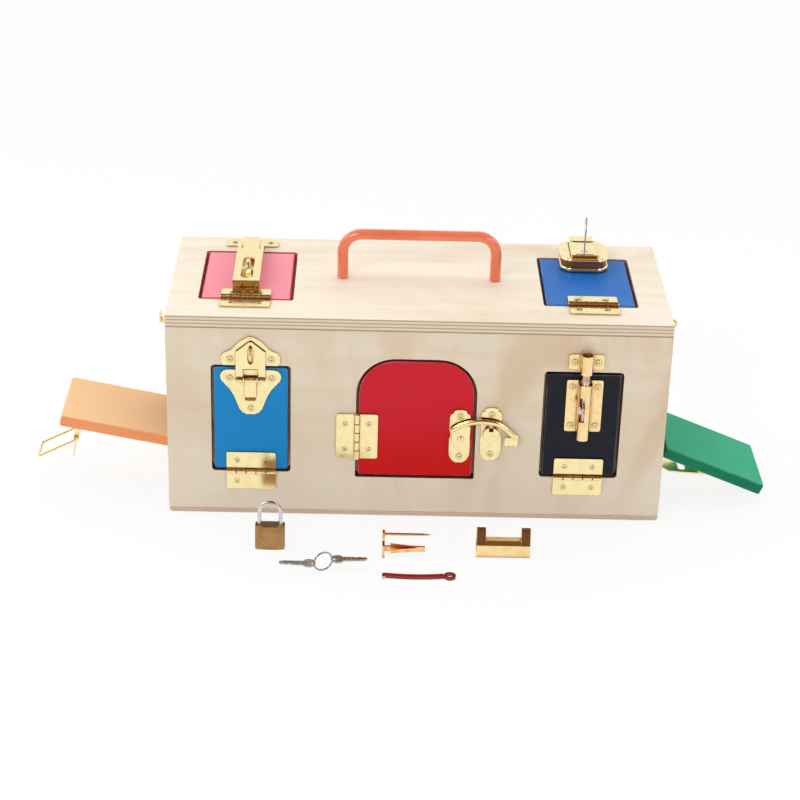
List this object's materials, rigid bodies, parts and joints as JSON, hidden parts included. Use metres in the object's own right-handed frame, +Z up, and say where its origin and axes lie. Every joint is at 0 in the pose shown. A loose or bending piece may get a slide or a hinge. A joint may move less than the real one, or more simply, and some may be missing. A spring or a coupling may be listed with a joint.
{
  "type": "wooden latch activity box",
  "caption": "Wooden activity box with painted hinged doors on its front, top and ends, each with its own kind of latch, a carrying handle, and loose locks and keys in front.",
  "frame": {"origin": "centre of the box's flat underside, on the floor", "axes": "+X along the width to the right as seen from the front, -Y out of the front, +Z up"},
  "size_m": [0.6074, 0.2627, 0.22],
  "materials": {
    "plywood": "smooth unvarnished birch plywood",
    "plywood_top": "smooth unvarnished birch plywood, lit from above",
    "orange_enamel": "satin enamel",
    "pink_paint": "matt paint",
    "blue_gloss": "gloss paint",
    "blue_paint": "matt paint",
    "red_paint": "matt paint",
    "black_paint": "matt paint",
    "apricot_paint": "matt paint",
    "green_paint": "matt paint",
    "brass": "polished",
    "satin_brass": "satin",
    "steel": "bright",
    "red_lacquer": "gloss lacquer over brass"
  },
  "bodies": {
    "box": {"front_panel": "plywood", "back_panel": "plywood", "bottom_panel": "plywood", "left_panel": "plywood", "right_panel": "plywood", "top_panel": "plywood_top", "carrying_handle": "orange_enamel", "front_left_hinge_fixed_leaf": "brass", "front_right_hinge_fixed_leaf": "brass", "centre_hinge_fixed_leaf": "brass", "top_left_hinge_fixed_leaf": "brass", "top_right_hinge_fixed_leaf": "brass", "left_end_hinge_fixed_leaf": "brass", "right_end_hinge_fixed_leaf": "brass", "hasp_bell_plate": "brass", "lever_latch_keeper": "brass", "barrel_bolt_keeper": "brass", "toggle_strike": "brass", "key_lock_strike": "brass", "draw_latch_keeper": "brass", "hasp_staple": "brass"},
    "front_left_door_body": {"front_left_door": "blue_paint", "front_left_hinge_moving_leaf": "brass", "hasp_heart_plate": "brass"},
    "front_right_door_body": {"front_right_door": "black_paint", "front_right_hinge_moving_leaf": "brass", "barrel_bolt_body": "brass"},
    "centre_door_body": {"centre_door": "red_paint", "centre_hinge_moving_leaf": "brass", "lever_latch_plate": "brass"},
    "top_left_lid_body": {"top_left_door": "pink_paint", "top_left_hinge_moving_leaf": "brass", "toggle_base": "brass"},
    "top_right_lid_body": {"top_right_door": "blue_gloss", "top_right_hinge_moving_leaf": "brass", "key_lock_case": "brass"},
    "left_end_door_body": {"left_end_door": "apricot_paint", "left_end_hinge_moving_leaf": "brass", "draw_latch_base": "brass"},
    "right_end_door_body": {"right_end_door": "green_paint", "right_end_hinge_moving_leaf": "brass", "hasp_strap_leaf": "brass"},
    "hasp_flap_body": {"hasp_flap": "brass"},
    "hasp_tongue_body": {"hasp_tongue": "brass"},
    "latch_lever_body": {"lever_latch_lever": "brass"},
    "bolt_rod_body": {"barrel_bolt_rod": "steel"},
    "toggle_lever_body": {"toggle_lever": "brass"},
    "toggle_link_body": {"toggle_link": "brass"},
    "lock_key_body": {"key_lock_key": "steel"},
    "draw_lever_body": {"draw_latch_lever": "brass"},
    "draw_bail_body": {"draw_latch_bail": "brass"},
    "strap_body": {"hasp_strap": "brass"},
    "padlock_body_body": {"padlock_body": "satin_brass"},
    "shackle_body": {"padlock_shackle": "steel"},
    "ring_body": {"key_ring": "steel"},
    "left_key_body": {"ring_key_left": "steel"},
    "right_key_body": {"ring_key_right": "steel"},
    "bar_lock_case_body": {"bar_lock_body": "brass"},
    "spring_bolt_body": {"bar_lock_spring_bolt": "brass"},
    "bar_key_body": {"bar_lock_key": "red_lacquer"}
  },
  "joints": [
    {"name": "front_left_door_hinge", "type": "hinge", "parent": "box", "child": "front_left_door_body", "pos_m": [-0.1329, -0.0833, 0.0401], "axis": [1, 0, 0], "range_deg": [0, 70]},
    {"name": "front_right_door_hinge", "type": "hinge", "parent": "box", "child": "front_right_door_body", "pos_m": [0.1318, -0.0833, 0.0401], "axis": [1, 0, 0], "range_deg": [0, 100]},
    {"name": "centre_door_hinge", "type": "hinge", "parent": "box", "child": "centre_door_body", "pos_m": [-0.0479, -0.0833, 0.0732], "axis": [0, 0, -1], "range_deg": [0, 110]},
    {"name": "top_left_lid_hinge", "type": "hinge", "parent": "box", "child": "top_left_lid_body", "pos_m": [-0.1386, -0.0469, 0.1783], "axis": [1, 0, 0], "range_deg": [0, 110]},
    {"name": "top_right_lid_hinge", "type": "hinge", "parent": "box", "child": "top_right_lid_body", "pos_m": [0.1372, -0.0469, 0.1783], "axis": [1, 0, 0], "range_deg": [0, 110]},
    {"name": "left_end_door_hinge", "type": "hinge", "parent": "box", "child": "left_end_door_body", "pos_m": [-0.2023, -0.012, 0.0401], "axis": [0, -1, 0], "range_deg": [-79.2, 2]},
    {"name": "right_end_door_hinge", "type": "hinge", "parent": "box", "child": "right_end_door_body", "pos_m": [0.2023, -0.012, 0.0401], "axis": [0, 1, 0], "range_deg": [-112, 2]},
    {"name": "hasp_flap_hinge", "type": "hinge", "parent": "front_left_door_body", "child": "hasp_flap_body", "pos_m": [-0.1329, -0.085, 0.123], "axis": [1, 0, 0], "range_deg": [0, 80]},
    {"name": "hasp_tongue_hinge", "type": "hinge", "parent": "front_left_door_body", "child": "hasp_tongue_body", "pos_m": [-0.1329, -0.085, 0.123], "axis": [-1, 0, 0], "range_deg": [0, 80]},
    {"name": "lever_latch_pivot", "type": "hinge", "parent": "centre_door_body", "child": "latch_lever_body", "pos_m": [0.0354, -0.085, 0.0735], "axis": [0, -1, 0], "range_deg": [0, 70]},
    {"name": "barrel_bolt_slide", "type": "slide", "parent": "front_right_door_body", "child": "bolt_rod_body", "axis": [0, 0, 1], "range_m": [-0.01, 0.007]},
    {"name": "toggle_lever_hinge", "type": "hinge", "parent": "top_left_lid_body", "child": "toggle_lever_body", "pos_m": [-0.139, 0.042, 0.1824], "axis": [-1, 0, 0], "range_deg": [0, 100]},
    {"name": "toggle_link_hinge", "type": "hinge", "parent": "toggle_lever_body", "child": "toggle_link_body", "pos_m": [-0.139, 0.035, 0.1846], "axis": [1, 0, 0], "range_deg": [0, 100]},
    {"name": "key_turn", "type": "hinge", "parent": "top_right_lid_body", "child": "lock_key_body", "pos_m": [0.1372, 0.0345, 0.2], "axis": [0, 0, 1], "range_deg": [-90, 90]},
    {"name": "draw_lever_hinge", "type": "hinge", "parent": "left_end_door_body", "child": "draw_lever_body", "pos_m": [-0.28091, -0.012, 0.04217], "axis": [0, -1, 0], "range_deg": [-30, 80]},
    {"name": "draw_bail_hinge", "type": "hinge", "parent": "draw_lever_body", "child": "draw_bail_body", "pos_m": [-0.28233, -0.012, 0.0347], "axis": [0, -1, 0], "range_deg": [-30, 20]},
    {"name": "hasp_strap_hinge", "type": "hinge", "parent": "right_end_door_body", "child": "strap_body", "pos_m": [0.26535, -0.012, 0.01463], "axis": [0, 1, 0], "range_deg": [-158, 12]},
    {"name": "padlock_lift", "type": "slide", "parent": "box", "child": "padlock_body_body", "axis": [0, 0, 1], "range_m": [0, 0.12]},
    {"name": "shackle_slide", "type": "slide", "parent": "padlock_body_body", "child": "shackle_body", "axis": [0, 0, 1], "range_m": [0, 0.006]},
    {"name": "ring_lift", "type": "slide", "parent": "box", "child": "ring_body", "axis": [0, 0, 1], "range_m": [0, 0.016]},
    {"name": "left_key_swing", "type": "hinge", "parent": "ring_body", "child": "left_key_body", "pos_m": [-0.07898, -0.17325, 0.0085], "axis": [0, 0, 1], "range_deg": [-35, 35]},
    {"name": "right_key_swing", "type": "hinge", "parent": "ring_body", "child": "right_key_body", "pos_m": [-0.06502, -0.16675, 0.0085], "axis": [0, 0, 1], "range_deg": [-35, 35]},
    {"name": "bar_lock_lift", "type": "slide", "parent": "box", "child": "bar_lock_case_body", "axis": [0, 0, 1], "range_m": [0, 0.12]},
    {"name": "spring_bolt_lift", "type": "slide", "parent": "box", "child": "spring_bolt_body", "axis": [0, 0, 1], "range_m": [0, 0.12]},
    {"name": "bar_key_lift", "type": "slide", "parent": "box", "child": "bar_key_body", "axis": [0, 0, 1], "range_m": [0, 0.12]}
  ],
  "couplings": [
    {"joint": "toggle_link_hinge", "follows": "toggle_lever_hinge", "ratio": 1}
  ]
}
